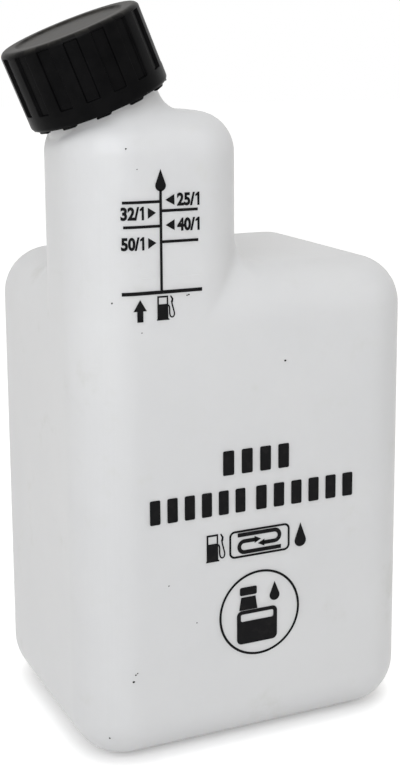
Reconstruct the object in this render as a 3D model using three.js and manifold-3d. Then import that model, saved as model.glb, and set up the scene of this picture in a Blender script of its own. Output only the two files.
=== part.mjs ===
// Fuel mixing bottle: a blow-moulded bottle with a measuring tower and a tilted screw neck, its cap and its liner.
// Millimetres, +Z up. X runs right along the front face and Y away from it.
// The origin is under the middle of the whole footprint, the leaning cap included.
import * as THREE from "three";
import { mergeVertices } from "three/addons/utils/BufferGeometryUtils.js";
import Module from "manifold-3d";

// Body
const bodyWidth = 100;
const bodyDepth = 82.6;
const bodyHeight = 135.3;
const bodyCornerRadius = 15;
const shoulderRadius = 13.7;
const baseEdgeRadius = 14;
const footBandWidth = 7;
const baseRecess = 1.2;
const wallThickness = 1.5;

// Measuring tower, flush with the body's front and left faces
const towerWidth = 48.5;
const towerDepth = 40.8;
const towerHeight = 177.2;
const towerCornerRadius = 16;
const towerTopRadius = 11;
const towerBlend = 9;

// Screw neck, which leans left from the tower's top
const neckOffset = 10.1;
const neckTilt = 22.5;
const neckRadius = 15.4;
const neckWall = 1.9;
const neckLength = 19.3;
const neckBlend = 8;

// Thread on the neck and in the cap
const threadPitch = 4.5;
const threadDepth = 1.1;
const threadTurns = 1.6;
const threadWidth = 1.9;
const threadClearance = 0.5;

// Cap and liner
const capWall = 1.35;
const capRise = 2.05;
const capTopThickness = 2;
const capEdgeRadius = 1.6;
const capRimWidth = 2.6;
const capRecess = 0.6;
const gripCount = 16;
const gripPhase = 2;
const gripDepth = 0.7;
const gripShare = 0.48;
const gripBottom = 4.35;
const gripTop = 1.3;
const lugCount = 12;
const lugPhase = 13.5;
const lugHeight = 0.55;
const lugShare = 0.48;
const linerThickness = 1.5;
const seatGap = 0.3;

// Fineness of the facets
const bodyArcSteps = 6;
const towerArcSteps = 5;
const widestStep = 10;
const closestStep = 1.5;
const edgeSteps = 4;
const neckSteps = 6;
const capSegments = 64;
const threadSteps = 30;

const radians = THREE.MathUtils.degToRad;
const vector = (x, y, z) => new THREE.Vector3(x, y, z);

// Plan outlines of the body and the tower
const bodyPlan = {
  left: -bodyWidth / 2,
  right: bodyWidth / 2,
  front: -bodyDepth / 2,
  back: bodyDepth / 2,
  corner: bodyCornerRadius,
};
const towerPlan = {
  left: bodyPlan.left,
  right: bodyPlan.left + towerWidth,
  front: bodyPlan.front,
  back: bodyPlan.front + towerDepth,
  corner: towerCornerRadius,
};
const towerX = (towerPlan.left + towerPlan.right) / 2;
const towerY = (towerPlan.front + towerPlan.back) / 2;

// The neck's own frame: its origin is where its axis meets the tower's top, and its z runs along the axis
const neckOrigin = vector(towerX - neckOffset, towerY, towerHeight);
const neckAxis = vector(-Math.sin(radians(neckTilt)), 0, Math.cos(radians(neckTilt)));
const neckSide = vector(Math.cos(radians(neckTilt)), 0, Math.sin(radians(neckTilt)));
const neckFrame = new THREE.Matrix4().makeRotationY(-radians(neckTilt)).setPosition(neckOrigin);

// Signed distance from a point to a rounded rectangle in plan
function planDistance(plan, x, y) {
  const outX = Math.abs(x - (plan.left + plan.right) / 2) - (plan.right - plan.left) / 2 + plan.corner;
  const outY = Math.abs(y - (plan.front + plan.back) / 2) - (plan.back - plan.front) / 2 + plan.corner;
  return Math.hypot(Math.max(outX, 0), Math.max(outY, 0)) + Math.min(Math.max(outX, outY), 0) - plan.corner;
}

// Signed distance to an upright block of that plan, with its top and bottom edges rounded
function blockDistance(across, z, low, high, topRadius, baseRadius) {
  const middle = (low + high) / 2;
  const edge = z > middle ? topRadius : baseRadius;
  const outPlan = across + edge;
  const outZ = Math.abs(z - middle) - (high - low) / 2 + edge;
  return Math.hypot(Math.max(outPlan, 0), Math.max(outZ, 0)) + Math.min(Math.max(outPlan, outZ), 0) - edge;
}

// Union of two distances with a concave fillet about as large as the blend
function blended(first, second, blend) {
  const share = Math.max(blend - Math.abs(first - second), 0);
  return Math.min(first, second) - (blend > 0 ? (share * share) / blend / 4 : 0);
}

// Signed distance to the bottle's outside: body, tower and neck. The fillets fade out where faces are flush.
function bottleDistance(point) {
  const bodyAcross = planDistance(bodyPlan, point.x, point.y);
  const towerAcross = planDistance(towerPlan, point.x, point.y);
  const body = blockDistance(bodyAcross, point.z, 0, bodyHeight, shoulderRadius, baseEdgeRadius);
  const tower = blockDistance(towerAcross, point.z, baseEdgeRadius, towerHeight, towerTopRadius, 0);
  const shoulderBlend = Math.min(towerBlend, Math.abs(bodyAcross - towerAcross));
  const fromNeck = point.clone().sub(neckOrigin);
  const along = fromNeck.dot(neckAxis);
  const neck = fromNeck.addScaledVector(neckAxis, -along).length() - neckRadius;
  const fade = THREE.MathUtils.clamp((point.x - neckOrigin.x + neckRadius) / (2 * neckRadius), 0, 1);
  const neckOnly = Math.max(neck, -along - neckBlend);
  return blended(blended(body, tower, shoulderBlend), neckOnly, neckBlend * fade);
}

// Where a ray from inside the bottle comes within a given depth of the outside
function castTo(guide, direction, depth) {
  const heading = direction.clone().normalize();
  let inside = 0;
  let outside = bodyWidth + bodyDepth;
  for (let step = 0; step < 40; step += 1) {
    const middle = (inside + outside) / 2;
    if (bottleDistance(guide.clone().addScaledVector(heading, middle)) < -depth) inside = middle;
    else outside = middle;
  }
  return guide.clone().addScaledVector(heading, inside);
}

// Distance from the tower's axis to a plan outline grown or shrunk by an offset
function reach(plan, angle, offset) {
  let inside = 0;
  let outside = bodyWidth + bodyDepth;
  for (let step = 0; step < 40; step += 1) {
    const middle = (inside + outside) / 2;
    const x = towerX + middle * Math.cos(angle);
    const y = towerY + middle * Math.sin(angle);
    if (planDistance(plan, x, y) < offset) inside = middle;
    else outside = middle;
  }
  return inside;
}

// Angles about the tower's axis at which the rings have a point: every corner's arc, and no gap too wide
function ringAngles() {
  const angles = [];
  const addCorners = (plan, steps) => {
    for (const [x, y, start] of [
      [plan.right - plan.corner, plan.back - plan.corner, 0],
      [plan.left + plan.corner, plan.back - plan.corner, 90],
      [plan.left + plan.corner, plan.front + plan.corner, 180],
      [plan.right - plan.corner, plan.front + plan.corner, 270],
    ]) {
      for (let step = 0; step <= steps; step += 1) {
        const turn = radians(start + (90 * step) / steps);
        const pointX = x + plan.corner * Math.cos(turn) - towerX;
        const pointY = y + plan.corner * Math.sin(turn) - towerY;
        angles.push(Math.atan2(pointY, pointX));
      }
    }
  };
  addCorners(bodyPlan, bodyArcSteps);
  addCorners(towerPlan, towerArcSteps);
  angles.sort((first, second) => first - second);
  const kept = [];
  for (const angle of angles) {
    const last = kept.length ? kept[kept.length - 1] : angles[angles.length - 1] - 2 * Math.PI;
    if (angle - last < radians(closestStep)) continue;
    const extra = Math.ceil((angle - last) / radians(widestStep)) - 1;
    for (let step = 1; step <= extra; step += 1) {
      kept.push(last + ((angle - last) * step) / (extra + 1));
    }
    kept.push(angle);
  }
  return kept;
}

// The rings of one skin of the bottle, from the middle of the base to the mouth
function skinRings(angles, depth, mouthRadius) {
  const rings = [];
  const floor = depth;
  const edgeRadius = baseEdgeRadius - depth;
  const quarter = Array.from({ length: edgeSteps + 1 }, (_, step) => (Math.PI / 2) * (step / edgeSteps));
  const outline = angles.map((angle) => {
    const along = reach(bodyPlan, angle, -depth);
    return vector(towerX + along * Math.cos(angle), towerY + along * Math.sin(angle), 0);
  });
  const inward = outline.map((point) => {
    const coreX = bodyWidth / 2 - bodyCornerRadius;
    const coreY = bodyDepth / 2 - bodyCornerRadius;
    const core = vector(
      THREE.MathUtils.clamp(point.x, -coreX, coreX),
      THREE.MathUtils.clamp(point.y, -coreY, coreY),
      0,
    );
    return core.sub(point).normalize();
  });
  const insetRing = (inset, z) => outline.map((point, at) => point.clone().addScaledVector(inward[at], inset).setZ(z));

  // Base: a recessed middle inside a flat foot band, and the rounded edge round it
  const foot = insetRing(edgeRadius, floor);
  const footInside = foot.map((point) => {
    const share = 1 - footBandWidth / (bodyDepth / 2 - baseEdgeRadius);
    return vector(point.x * share, point.y * share, floor);
  });
  const footStep = foot.map((point) => {
    const share = 1 - (footBandWidth + 2 * baseRecess) / (bodyDepth / 2 - baseEdgeRadius);
    return vector(point.x * share, point.y * share, floor + baseRecess);
  });
  rings.push([vector(0, 0, floor + baseRecess)], footStep, footInside);
  for (const turn of quarter) {
    rings.push(insetRing(edgeRadius * (1 - Math.sin(turn)), floor + edgeRadius * (1 - Math.cos(turn))));
  }

  // Shoulder and the tower's foot, cast from a point inside the tower
  const shoulderGuide = vector(towerX, towerY, bodyHeight - shoulderRadius);
  const slopes = angles.map((angle) => {
    const wall = reach(bodyPlan, angle, 0);
    const tower = reach(towerPlan, angle, 0);
    const list = [];
    for (const turn of quarter) {
      const over = reach(bodyPlan, angle, -shoulderRadius * (1 - Math.cos(turn)));
      list.push((shoulderRadius * Math.sin(turn)) / Math.max(over, tower));
    }
    for (const turn of quarter) {
      const over = reach(towerPlan, angle, towerBlend * (1 - Math.sin(turn)));
      list.push((shoulderRadius + towerBlend * (1 - Math.cos(turn))) / Math.min(over, wall));
    }
    return list.sort((first, second) => first - second);
  });
  for (let level = 0; level < slopes[0].length; level += 1) {
    rings.push(
      angles.map((angle, at) => {
        const direction = vector(Math.cos(angle), Math.sin(angle), slopes[at][level]);
        return castTo(shoulderGuide, direction, depth);
      }),
    );
  }

  // Tower wall, its rounded top and the foot of the neck
  const towerGuide = vector(towerX, towerY, towerHeight - towerTopRadius);
  const wallRing = angles.map((angle) => castTo(towerGuide, vector(Math.cos(angle), Math.sin(angle), 0), depth));
  const neckRing = (radius, along) =>
    angles.map((angle) =>
      neckOrigin
        .clone()
        .addScaledVector(neckAxis, along)
        .addScaledVector(neckSide, radius * Math.cos(angle))
        .add(vector(0, radius * Math.sin(angle), 0)),
    );
  const neckFoot = neckRing(mouthRadius, neckBlend * 0.75);
  rings.push(wallRing);
  for (let step = 1; step < neckSteps; step += 1) {
    const share = step / neckSteps;
    rings.push(
      wallRing.map((point, at) => castTo(towerGuide, point.clone().lerp(neckFoot[at], share).sub(towerGuide), depth)),
    );
  }
  rings.push(neckFoot, neckRing(mouthRadius, neckLength));
  return rings;
}

// A closed mesh from rings that follow one another. A ring of one point closes an end.
function loft(rings) {
  const positions = [];
  const starts = rings.map((ring) => {
    const start = positions.length / 3;
    for (const point of ring) positions.push(point.x, point.y, point.z);
    return start;
  });
  const faces = [];
  for (let level = 0; level + 1 < rings.length; level += 1) {
    const lower = rings[level];
    const upper = rings[level + 1];
    const count = Math.max(lower.length, upper.length);
    for (let at = 0; at < count; at += 1) {
      const next = (at + 1) % count;
      const a = starts[level] + (lower.length > 1 ? at : 0);
      const b = starts[level] + (lower.length > 1 ? next : 0);
      const c = starts[level + 1] + (upper.length > 1 ? next : 0);
      const d = starts[level + 1] + (upper.length > 1 ? at : 0);
      if (lower.length > 1) faces.push(a, b, c);
      if (upper.length > 1) faces.push(a, c, d);
    }
  }
  const geometry = new THREE.BufferGeometry();
  geometry.setAttribute("position", new THREE.Float32BufferAttribute(positions, 3));
  geometry.setIndex(faces);
  return geometry;
}

// Joining and cutting
const manifold = await Module();
manifold.setup();

function solidOf(geometry) {
  const plain = geometry.clone();
  plain.deleteAttribute("normal");
  plain.deleteAttribute("uv");
  const merged = mergeVertices(plain, 1e-4);
  const mesh = new manifold.Mesh({
    numProp: 3,
    vertProperties: new Float32Array(merged.attributes.position.array),
    triVerts: new Uint32Array(merged.index.array),
  });
  return new manifold.Manifold(mesh);
}

function geometryOf(solid) {
  const mesh = solid.getMesh();
  const geometry = new THREE.BufferGeometry();
  geometry.setAttribute("position", new THREE.Float32BufferAttribute(mesh.vertProperties, 3));
  geometry.setIndex(Array.from(mesh.triVerts));
  geometry.computeVertexNormals();
  return geometry;
}

// Where the neck's thread starts along its axis, and how far below it the cap's thread seats
const threadStart = neckLength - threadWidth - threadPitch * threadTurns;
const threadSeat = threadWidth / 2 + seatGap;

// A thread: a ridge that climbs round the z axis from its root radius to its crest radius, fading at both ends
function threadRidge(rootRadius, crestRadius, start) {
  const count = Math.round(threadSteps * threadTurns);
  const sign = Math.sign(crestRadius - rootRadius);
  const rings = [];
  for (let step = 0; step <= count; step += 1) {
    const angle = (2 * Math.PI * threadTurns * step) / count;
    const height = start + (threadPitch * threadTurns * step) / count;
    const fade = Math.min(1, 0.1 + Math.min(step, count - step) / 4);
    const crest = THREE.MathUtils.lerp(rootRadius, crestRadius, fade);
    const sunk = rootRadius - sign * neckWall * 0.4;
    const corner = (radius, rise) => vector(radius * Math.cos(angle), radius * Math.sin(angle), height + rise);
    const ring = [
      corner(sunk, -threadWidth / 2),
      corner(crest, -threadWidth / 5),
      corner(crest, threadWidth / 5),
      corner(sunk, threadWidth / 2),
    ];
    rings.push(sign > 0 ? ring.reverse() : ring);
  }
  const middle = (ring) => [ring.reduce((sum, point) => sum.add(point), vector(0, 0, 0)).divideScalar(4)];
  return loft([middle(rings[0]), ...rings, middle(rings[count])]);
}

// Bottle
function bottleGeometry() {
  const angles = ringAngles();
  const outer = skinRings(angles, 0, neckRadius);
  const inner = skinRings(angles, wallThickness, neckRadius - neckWall);
  const shell = solidOf(loft([...outer, ...inner.reverse()]));
  const ridge = threadRidge(neckRadius, neckRadius + threadDepth, threadStart).applyMatrix4(neckFrame);
  return geometryOf(shell.add(solidOf(ridge)));
}

// Cap, with its lower rim at z = 0 in the neck's frame
const capBore = neckRadius + threadDepth + threadClearance;
const capRadius = capBore + capWall + gripDepth;
const capInside = neckLength - capRise + seatGap + linerThickness + seatGap;
const capHeight = capInside + capTopThickness;

function capShell() {
  const points = [
    [0, capInside],
    [capBore, capInside],
    [capBore, 0],
    [capRadius - gripDepth / 2, 0],
    [capRadius, gripDepth],
  ];
  const arcSteps = 4;
  for (let step = 0; step <= arcSteps; step += 1) {
    const turn = (Math.PI / 2) * (step / arcSteps);
    points.push([
      capRadius - capEdgeRadius + capEdgeRadius * Math.cos(turn),
      capHeight - capEdgeRadius + capEdgeRadius * Math.sin(turn),
    ]);
  }
  points.push(
    [capRadius - capEdgeRadius - capRimWidth, capHeight],
    [capRadius - capEdgeRadius - capRimWidth - capRecess, capHeight - capRecess],
    [0, capHeight - capRecess],
  );
  const lathe = new THREE.LatheGeometry(points.map(([r, z]) => new THREE.Vector2(r, z)), capSegments);
  return lathe.rotateX(Math.PI / 2);
}

// One grip pocket: a block that reaches into the skirt by the grip's depth
function gripPocket(turn) {
  const width = ((2 * Math.PI * capRadius) / gripCount) * gripShare;
  const height = capHeight - gripBottom - gripTop;
  const block = new THREE.BoxGeometry(gripDepth * 4, width, height);
  block.translate(capRadius + gripDepth, 0, gripBottom + height / 2);
  return block.rotateZ(turn);
}

// One lug under the skirt's rim, its top sunk into the rim
function rimLug(turn) {
  const width = ((2 * Math.PI * capRadius) / lugCount) * lugShare;
  const shape = new THREE.Shape();
  shape.moveTo(-width / 2, lugHeight);
  shape.lineTo(-width / 2, -lugHeight);
  shape.lineTo(width / 2 - lugHeight * 2, -lugHeight);
  shape.lineTo(width / 2, lugHeight);
  const block = new THREE.ExtrudeGeometry(shape, { depth: capWall * 0.8, bevelEnabled: false });
  block.rotateX(Math.PI / 2).rotateZ(-Math.PI / 2);
  block.translate(capBore + capWall * 1.1, 0, 0);
  return block.rotateZ(turn);
}

function capGeometry() {
  let cap = solidOf(capShell());
  for (let at = 0; at < gripCount; at += 1) {
    cap = cap.subtract(solidOf(gripPocket(radians(gripPhase + (360 * at) / gripCount))));
  }
  for (let at = 0; at < lugCount; at += 1) {
    cap = cap.add(solidOf(rimLug(radians(lugPhase + (360 * at) / lugCount))));
  }
  const ridge = threadRidge(capBore, capBore - threadDepth, threadStart - capRise - threadSeat);
  return geometryOf(cap.add(solidOf(ridge)));
}

function linerGeometry() {
  const radius = capBore - seatGap;
  return new THREE.CylinderGeometry(radius, radius, linerThickness, capSegments).rotateX(Math.PI / 2);
}

const materials = {
  hdpe: new THREE.MeshStandardMaterial({ color: 0xdcdedf, roughness: 0.45, metalness: 0 }),
  black: new THREE.MeshStandardMaterial({ color: 0x18181a, roughness: 0.4, metalness: 0 }),
  wad: new THREE.MeshStandardMaterial({ color: 0xe8e6e0, roughness: 0.7, metalness: 0 }),
};

function named(name, geometry, material) {
  const mesh = new THREE.Mesh(geometry, material);
  mesh.name = name;
  return mesh;
}

const bottle = named("bottle", bottleGeometry(), materials.hdpe);
const cap = named("cap", capGeometry(), materials.black);
const liner = named("liner", linerGeometry(), materials.wad);
liner.position.set(0, 0, capInside - seatGap - linerThickness / 2);

const closure = new THREE.Group();
closure.add(cap, liner);
closure.position.copy(neckOrigin).addScaledVector(neckAxis, capRise);
closure.rotation.y = -radians(neckTilt);

const model = new THREE.Group();
model.add(bottle, closure);
const extent = new THREE.Box3().setFromObject(model, true);
const middle = extent.getCenter(vector(0, 0, 0));
model.position.set(-middle.x, -middle.y, -extent.min.z);
export default model;
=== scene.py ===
# Fuel mixing bottle: a milky blown bottle with a measuring tower, a black ribbed screw cap and printed scale.
# Lengths in the settings of the camera and the pieces are millimetres.
# Finished meshes, materials and the stage are in metres.
import math

import bmesh
import bpy
import numpy as np
from mathutils import Matrix, Vector


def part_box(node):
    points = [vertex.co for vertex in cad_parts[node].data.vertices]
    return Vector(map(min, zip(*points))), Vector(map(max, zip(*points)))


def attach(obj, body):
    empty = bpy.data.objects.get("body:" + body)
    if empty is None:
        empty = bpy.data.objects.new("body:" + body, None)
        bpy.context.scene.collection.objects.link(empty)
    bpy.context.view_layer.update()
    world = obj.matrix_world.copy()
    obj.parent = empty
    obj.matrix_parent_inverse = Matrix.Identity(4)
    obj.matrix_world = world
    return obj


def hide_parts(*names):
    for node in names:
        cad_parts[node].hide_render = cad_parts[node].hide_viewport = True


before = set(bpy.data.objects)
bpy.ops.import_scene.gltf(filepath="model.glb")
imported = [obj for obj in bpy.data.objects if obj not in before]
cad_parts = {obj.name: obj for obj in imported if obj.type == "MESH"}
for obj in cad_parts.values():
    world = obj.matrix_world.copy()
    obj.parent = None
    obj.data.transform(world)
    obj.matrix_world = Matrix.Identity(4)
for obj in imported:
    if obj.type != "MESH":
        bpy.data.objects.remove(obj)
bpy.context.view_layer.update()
mm = 0.001
print("frame loaded")


# Camera, worked out from the photograph's outline
cameraSettings = {
    "place": (-155.9, -374.3, 194.2),
    "azimuth": 26.15,
    "down": 10.33,
    "roll": 0.09,
    "focalPixels": 1407.2,
    "imageWidth": 400,
    "imageHeight": 770,
    "axisPixel": (264.7, 301.6),
}


def addCamera(settings):
    data = bpy.data.cameras.new("camera")
    height = settings["imageHeight"]
    data.sensor_fit = "AUTO"
    data.sensor_width = 36.0
    data.lens = settings["focalPixels"] * data.sensor_width / height
    data.shift_x = (settings["imageWidth"] / 2 - settings["axisPixel"][0]) / height
    data.shift_y = (settings["axisPixel"][1] - height / 2) / height
    data.clip_start = 0.01
    data.clip_end = 20.0
    camera = bpy.data.objects.new("camera", data)
    bpy.context.scene.collection.objects.link(camera)
    turn = math.radians(settings["azimuth"])
    dip = math.radians(settings["down"])
    ahead = Vector((math.sin(turn) * math.cos(dip), math.cos(turn) * math.cos(dip), -math.sin(dip)))
    right = Vector((math.cos(turn), -math.sin(turn), 0))
    up = right.cross(ahead)
    roll = math.radians(settings["roll"])
    side = right * math.cos(roll) + up * math.sin(roll)
    top = up * math.cos(roll) - right * math.sin(roll)
    matrix = Matrix((side, top, -ahead)).transposed().to_4x4()
    matrix.translation = Vector(settings["place"]) * mm
    camera.matrix_world = matrix
    bpy.context.scene.camera = camera


addCamera(cameraSettings)


# Bottle: the solid's own sizes, but for a tighter blend at the neck's foot
bottleSettings = {
    "width": 100.0,
    "depth": 82.6,
    "height": 135.3,
    "corner": 15.0,
    "shoulder": 13.7,
    "baseEdge": 14.0,
    "footBand": 7.0,
    "recess": 1.2,
    "recessSlope": 3.5,  # width of the recess's side for each millimetre of depth
    "wall": 1.5,
    "towerWidth": 48.5,
    "towerDepth": 40.8,
    "towerHeight": 177.2,
    "towerCorner": 16.0,
    "towerTop": 11.0,
    "towerBlend": 9.0,
    "neckOffset": 10.1,
    "neckTilt": 22.5,
    "neckRadius": 15.4,
    "neckWall": 1.9,
    "neckLength": 19.3,
    "neckBlend": 5.0,
    "footShare": 0.75,  # how high the neck's foot ends, as a share of the blend
    "rimShare": 0.8,  # how round the rim is, as a share of half the wall
    "arcSteps": 18,
    "widestStep": 3.0,
    "edgeSteps": 14,
    "neckSteps": 22,
    "halvings": 40,  # of each search along a line
}
b = bottleSettings
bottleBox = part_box("bottle")
bodyX = bottleBox[1].x / mm - b["width"] / 2  # the body's middle in the frame
bodyY = (bottleBox[0].y + bottleBox[1].y) / 2 / mm
bodyPlan = (-b["width"] / 2, b["width"] / 2, -b["depth"] / 2, b["depth"] / 2, b["corner"])
towerPlan = (
    bodyPlan[0],
    bodyPlan[0] + b["towerWidth"],
    bodyPlan[2],
    bodyPlan[2] + b["towerDepth"],
    b["towerCorner"],
)
towerX = (towerPlan[0] + towerPlan[1]) / 2
towerY = (towerPlan[2] + towerPlan[3]) / 2
tilt = math.radians(b["neckTilt"])
neckOrigin = np.array((towerX - b["neckOffset"], towerY, b["towerHeight"]))
neckAxis = np.array((-math.sin(tilt), 0, math.cos(tilt)))
neckSide = np.array((math.cos(tilt), 0, math.sin(tilt)))


def planDistance(plan, x, y):
    left, right, front, back, corner = plan
    outX = np.abs(x - (left + right) / 2) - (right - left) / 2 + corner
    outY = np.abs(y - (front + back) / 2) - (back - front) / 2 + corner
    outside = np.hypot(np.maximum(outX, 0), np.maximum(outY, 0))
    return outside + np.minimum(np.maximum(outX, outY), 0) - corner


def blockDistance(across, z, low, high, topEdge, baseEdge):
    middle = (low + high) / 2
    edge = np.where(z > middle, topEdge, baseEdge)
    outPlan = across + edge
    outZ = np.abs(z - middle) - (high - low) / 2 + edge
    outside = np.hypot(np.maximum(outPlan, 0), np.maximum(outZ, 0))
    return outside + np.minimum(np.maximum(outPlan, outZ), 0) - edge


def blended(first, second, blend):
    share = np.maximum(blend - np.abs(first - second), 0)
    return np.minimum(first, second) - share * share / np.maximum(blend, 1e-9) / 4


def bottleDistance(p):
    x, y, z = p[..., 0], p[..., 1], p[..., 2]
    bodyAcross = planDistance(bodyPlan, x, y)
    towerAcross = planDistance(towerPlan, x, y)
    body = blockDistance(bodyAcross, z, 0, b["height"], b["shoulder"], b["baseEdge"])
    tower = blockDistance(towerAcross, z, b["baseEdge"], b["towerHeight"], b["towerTop"], 0)
    fromNeck = p - neckOrigin
    along = fromNeck @ neckAxis
    neck = np.linalg.norm(fromNeck - along[..., None] * neckAxis, axis=-1) - b["neckRadius"]
    fade = np.clip((x - neckOrigin[0] + b["neckRadius"]) / (2 * b["neckRadius"]), 0, 1)
    neckOnly = np.maximum(neck, -along - b["neckBlend"])
    joined = blended(body, tower, np.minimum(b["towerBlend"], np.abs(bodyAcross - towerAcross)))
    return blended(joined, neckOnly, b["neckBlend"] * fade)


def castTo(guide, toward, depth):
    heading = toward / np.linalg.norm(toward, axis=-1, keepdims=True)
    inside = np.zeros(len(heading))
    outside = np.full(len(heading), b["width"] + b["depth"])
    for _ in range(b["halvings"]):
        middle = (inside + outside) / 2
        deep = bottleDistance(guide + heading * middle[:, None]) < -depth
        inside = np.where(deep, middle, inside)
        outside = np.where(deep, outside, middle)
    return guide + heading * inside[:, None]


def reach(plan, angles, offset):
    inside = np.zeros(len(angles))
    outside = np.full(len(angles), b["width"] + b["depth"])
    for _ in range(b["halvings"]):
        middle = (inside + outside) / 2
        near = planDistance(plan, towerX + middle * np.cos(angles), towerY + middle * np.sin(angles)) < offset
        inside = np.where(near, middle, inside)
        outside = np.where(near, outside, middle)
    return inside


def ringAngles():
    angles = []
    for left, right, front, back, corner in (bodyPlan, towerPlan):
        for x, y, start in (
            (right - corner, back - corner, 0),
            (left + corner, back - corner, 90),
            (left + corner, front + corner, 180),
            (right - corner, front + corner, 270),
        ):
            for step in range(b["arcSteps"] + 1):
                turn = math.radians(start + 90 * step / b["arcSteps"])
                angles.append(
                    math.atan2(y + corner * math.sin(turn) - towerY, x + corner * math.cos(turn) - towerX)
                )
    angles.sort()
    kept = []
    for angle in angles:
        last = kept[-1] if kept else angles[-1] - 2 * math.pi
        if angle - last < math.radians(b["widestStep"] / 8):
            continue
        extra = math.ceil((angle - last) / math.radians(b["widestStep"])) - 1
        kept += [last + (angle - last) * step / (extra + 1) for step in range(1, extra + 1)]
        kept.append(angle)
    return np.array(kept)


def skinRings(angles, depth, mouthRadius):
    rings = []
    edge = b["baseEdge"] - depth
    quarter = [math.pi / 2 * step / b["edgeSteps"] for step in range(b["edgeSteps"] + 1)]
    along = reach(bodyPlan, angles, -depth)
    outline = np.stack([towerX + along * np.cos(angles), towerY + along * np.sin(angles)], 1)
    core = np.array((b["width"], b["depth"])) / 2 - b["corner"]
    inward = np.clip(outline, -core, core) - outline
    inward /= np.linalg.norm(inward, axis=1, keepdims=True)

    def flat(points, z):
        return np.column_stack([points, np.full(len(points), z)])

    # Base: recessed middle, flat foot band and rounded edge
    foot = outline + inward * edge
    reachIn = b["depth"] / 2 - b["baseEdge"]
    rings.append(np.array([[0, 0, depth + b["recess"]]]))
    for band in (reachIn * 0.5, b["footBand"] + b["recessSlope"] * b["recess"]):
        rings.append(flat(foot * (1 - band / reachIn), depth + b["recess"]))
    for step in range(1, 6):
        share = step / 6
        band = b["footBand"] + b["recessSlope"] * b["recess"] * (1 - share)
        drop = 0.5 + 0.5 * math.cos(math.pi * share)
        rings.append(flat(foot * (1 - band / reachIn), depth + b["recess"] * drop))
    rings.append(flat(foot * (1 - b["footBand"] / reachIn), depth))
    for turn in quarter:
        inset = edge * (1 - math.sin(turn))
        rings.append(flat(outline + inward * inset, depth + edge * (1 - math.cos(turn))))
    side = (b["height"] - b["shoulder"] - b["baseEdge"]) / 6
    for step in range(1, 6):
        rings.append(flat(outline, b["baseEdge"] + side * step))

    # Shoulder and the tower's foot
    guide = np.array((towerX, towerY, b["height"] - b["shoulder"]))
    wall = reach(bodyPlan, angles, 0)
    tower = reach(towerPlan, angles, 0)
    slopes = []
    for turn in quarter:
        over = reach(bodyPlan, angles, -b["shoulder"] * (1 - math.cos(turn)))
        slopes.append(b["shoulder"] * math.sin(turn) / np.maximum(over, tower))
    for turn in quarter:
        over = reach(towerPlan, angles, b["towerBlend"] * (1 - math.sin(turn)))
        slopes.append((b["shoulder"] + b["towerBlend"] * (1 - math.cos(turn))) / np.minimum(over, wall))
    slopes = np.sort(np.array(slopes), axis=0)
    level = np.stack([np.cos(angles), np.sin(angles)], 1)
    for slope in slopes:
        rings.append(castTo(guide, np.column_stack([level, slope]), depth))

    # Tower wall, rounded top and the neck's foot
    guide = np.array((towerX, towerY, b["towerHeight"] - b["towerTop"]))
    middleGuide = (guide + np.array((towerX, towerY, b["height"] + b["towerBlend"]))) / 2
    rings.append(castTo(middleGuide, flat(level, 0), depth))
    wallRing = castTo(guide, flat(level, 0), depth)
    rings.append(wallRing)
    circle = np.outer(np.cos(angles), neckSide) + np.outer(np.sin(angles), (0, 1, 0))

    def neckRing(radius, height):
        return neckOrigin + neckAxis * height + circle * radius

    neckFoot = neckRing(mouthRadius, b["neckBlend"] * b["footShare"])
    for step in range(1, b["neckSteps"]):
        share = step / b["neckSteps"]
        rings.append(castTo(guide, wallRing * (1 - share) + neckFoot * share - guide, depth))
    rings.append(neckFoot)
    sign = 1 if mouthRadius == b["neckRadius"] else -1
    rim = b["neckWall"] / 2 * b["rimShare"]
    rings.append(neckRing(mouthRadius, b["neckLength"] - b["neckWall"] * 0.75))
    for step in range(5):
        turn = math.pi / 2 * step / 4
        radius = mouthRadius - sign * rim * (1 - math.cos(turn))
        rings.append(neckRing(radius, b["neckLength"] - rim * (1 - math.sin(turn))))
    return rings


def loftMesh(name, rings):
    vertices = np.concatenate(rings)
    starts = np.cumsum([0] + [len(ring) for ring in rings[:-1]])
    faces = []
    for at in range(len(rings) - 1):
        low, high = len(rings[at]), len(rings[at + 1])
        count = max(low, high)
        for i in range(count):
            j = (i + 1) % count
            corners = [starts[at] + (i if low > 1 else 0), starts[at] + (j if low > 1 else 0)]
            corners += [starts[at + 1] + (j if high > 1 else 0), starts[at + 1] + (i if high > 1 else 0)]
            faces.append(list(dict.fromkeys(corners)))
    mesh = bpy.data.meshes.new(name)
    mesh.from_pydata([tuple(v) for v in vertices], [], faces)
    return mesh


# Moves a mesh to its place in the frame, in metres, and gives it an object that rides on a body
def placed(name, mesh, matrix, material, body):
    mesh.transform(matrix)
    mesh.update()
    mesh.shade_smooth()
    if len(mesh.materials) == 0:
        mesh.materials.append(material)
    mesh.materials[0] = material
    piece = bpy.data.objects.new(name, mesh)
    bpy.context.scene.collection.objects.link(piece)
    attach(piece, body)
    print(name, "has", len(mesh.polygons), "faces")
    return piece


toFrame = Matrix.Diagonal((mm, mm, mm, 1)) @ Matrix.Translation((bodyX, bodyY, 0))
toNeck = toFrame @ Matrix.Translation(neckOrigin) @ Matrix.Rotation(-tilt, 4, "Y")


# Shader node groups that several materials share
def newGroup(name, inputs, outputs):
    group = bpy.data.node_groups.new(name, "ShaderNodeTree")
    for label, value in inputs:
        socket = group.interface.new_socket(name=label, in_out="INPUT", socket_type="NodeSocketFloat")
        socket.default_value = value
    for label, kind in outputs:
        group.interface.new_socket(name=label, in_out="OUTPUT", socket_type=kind)
    return group, group.nodes.new("NodeGroupInput"), group.nodes.new("NodeGroupOutput")


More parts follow.
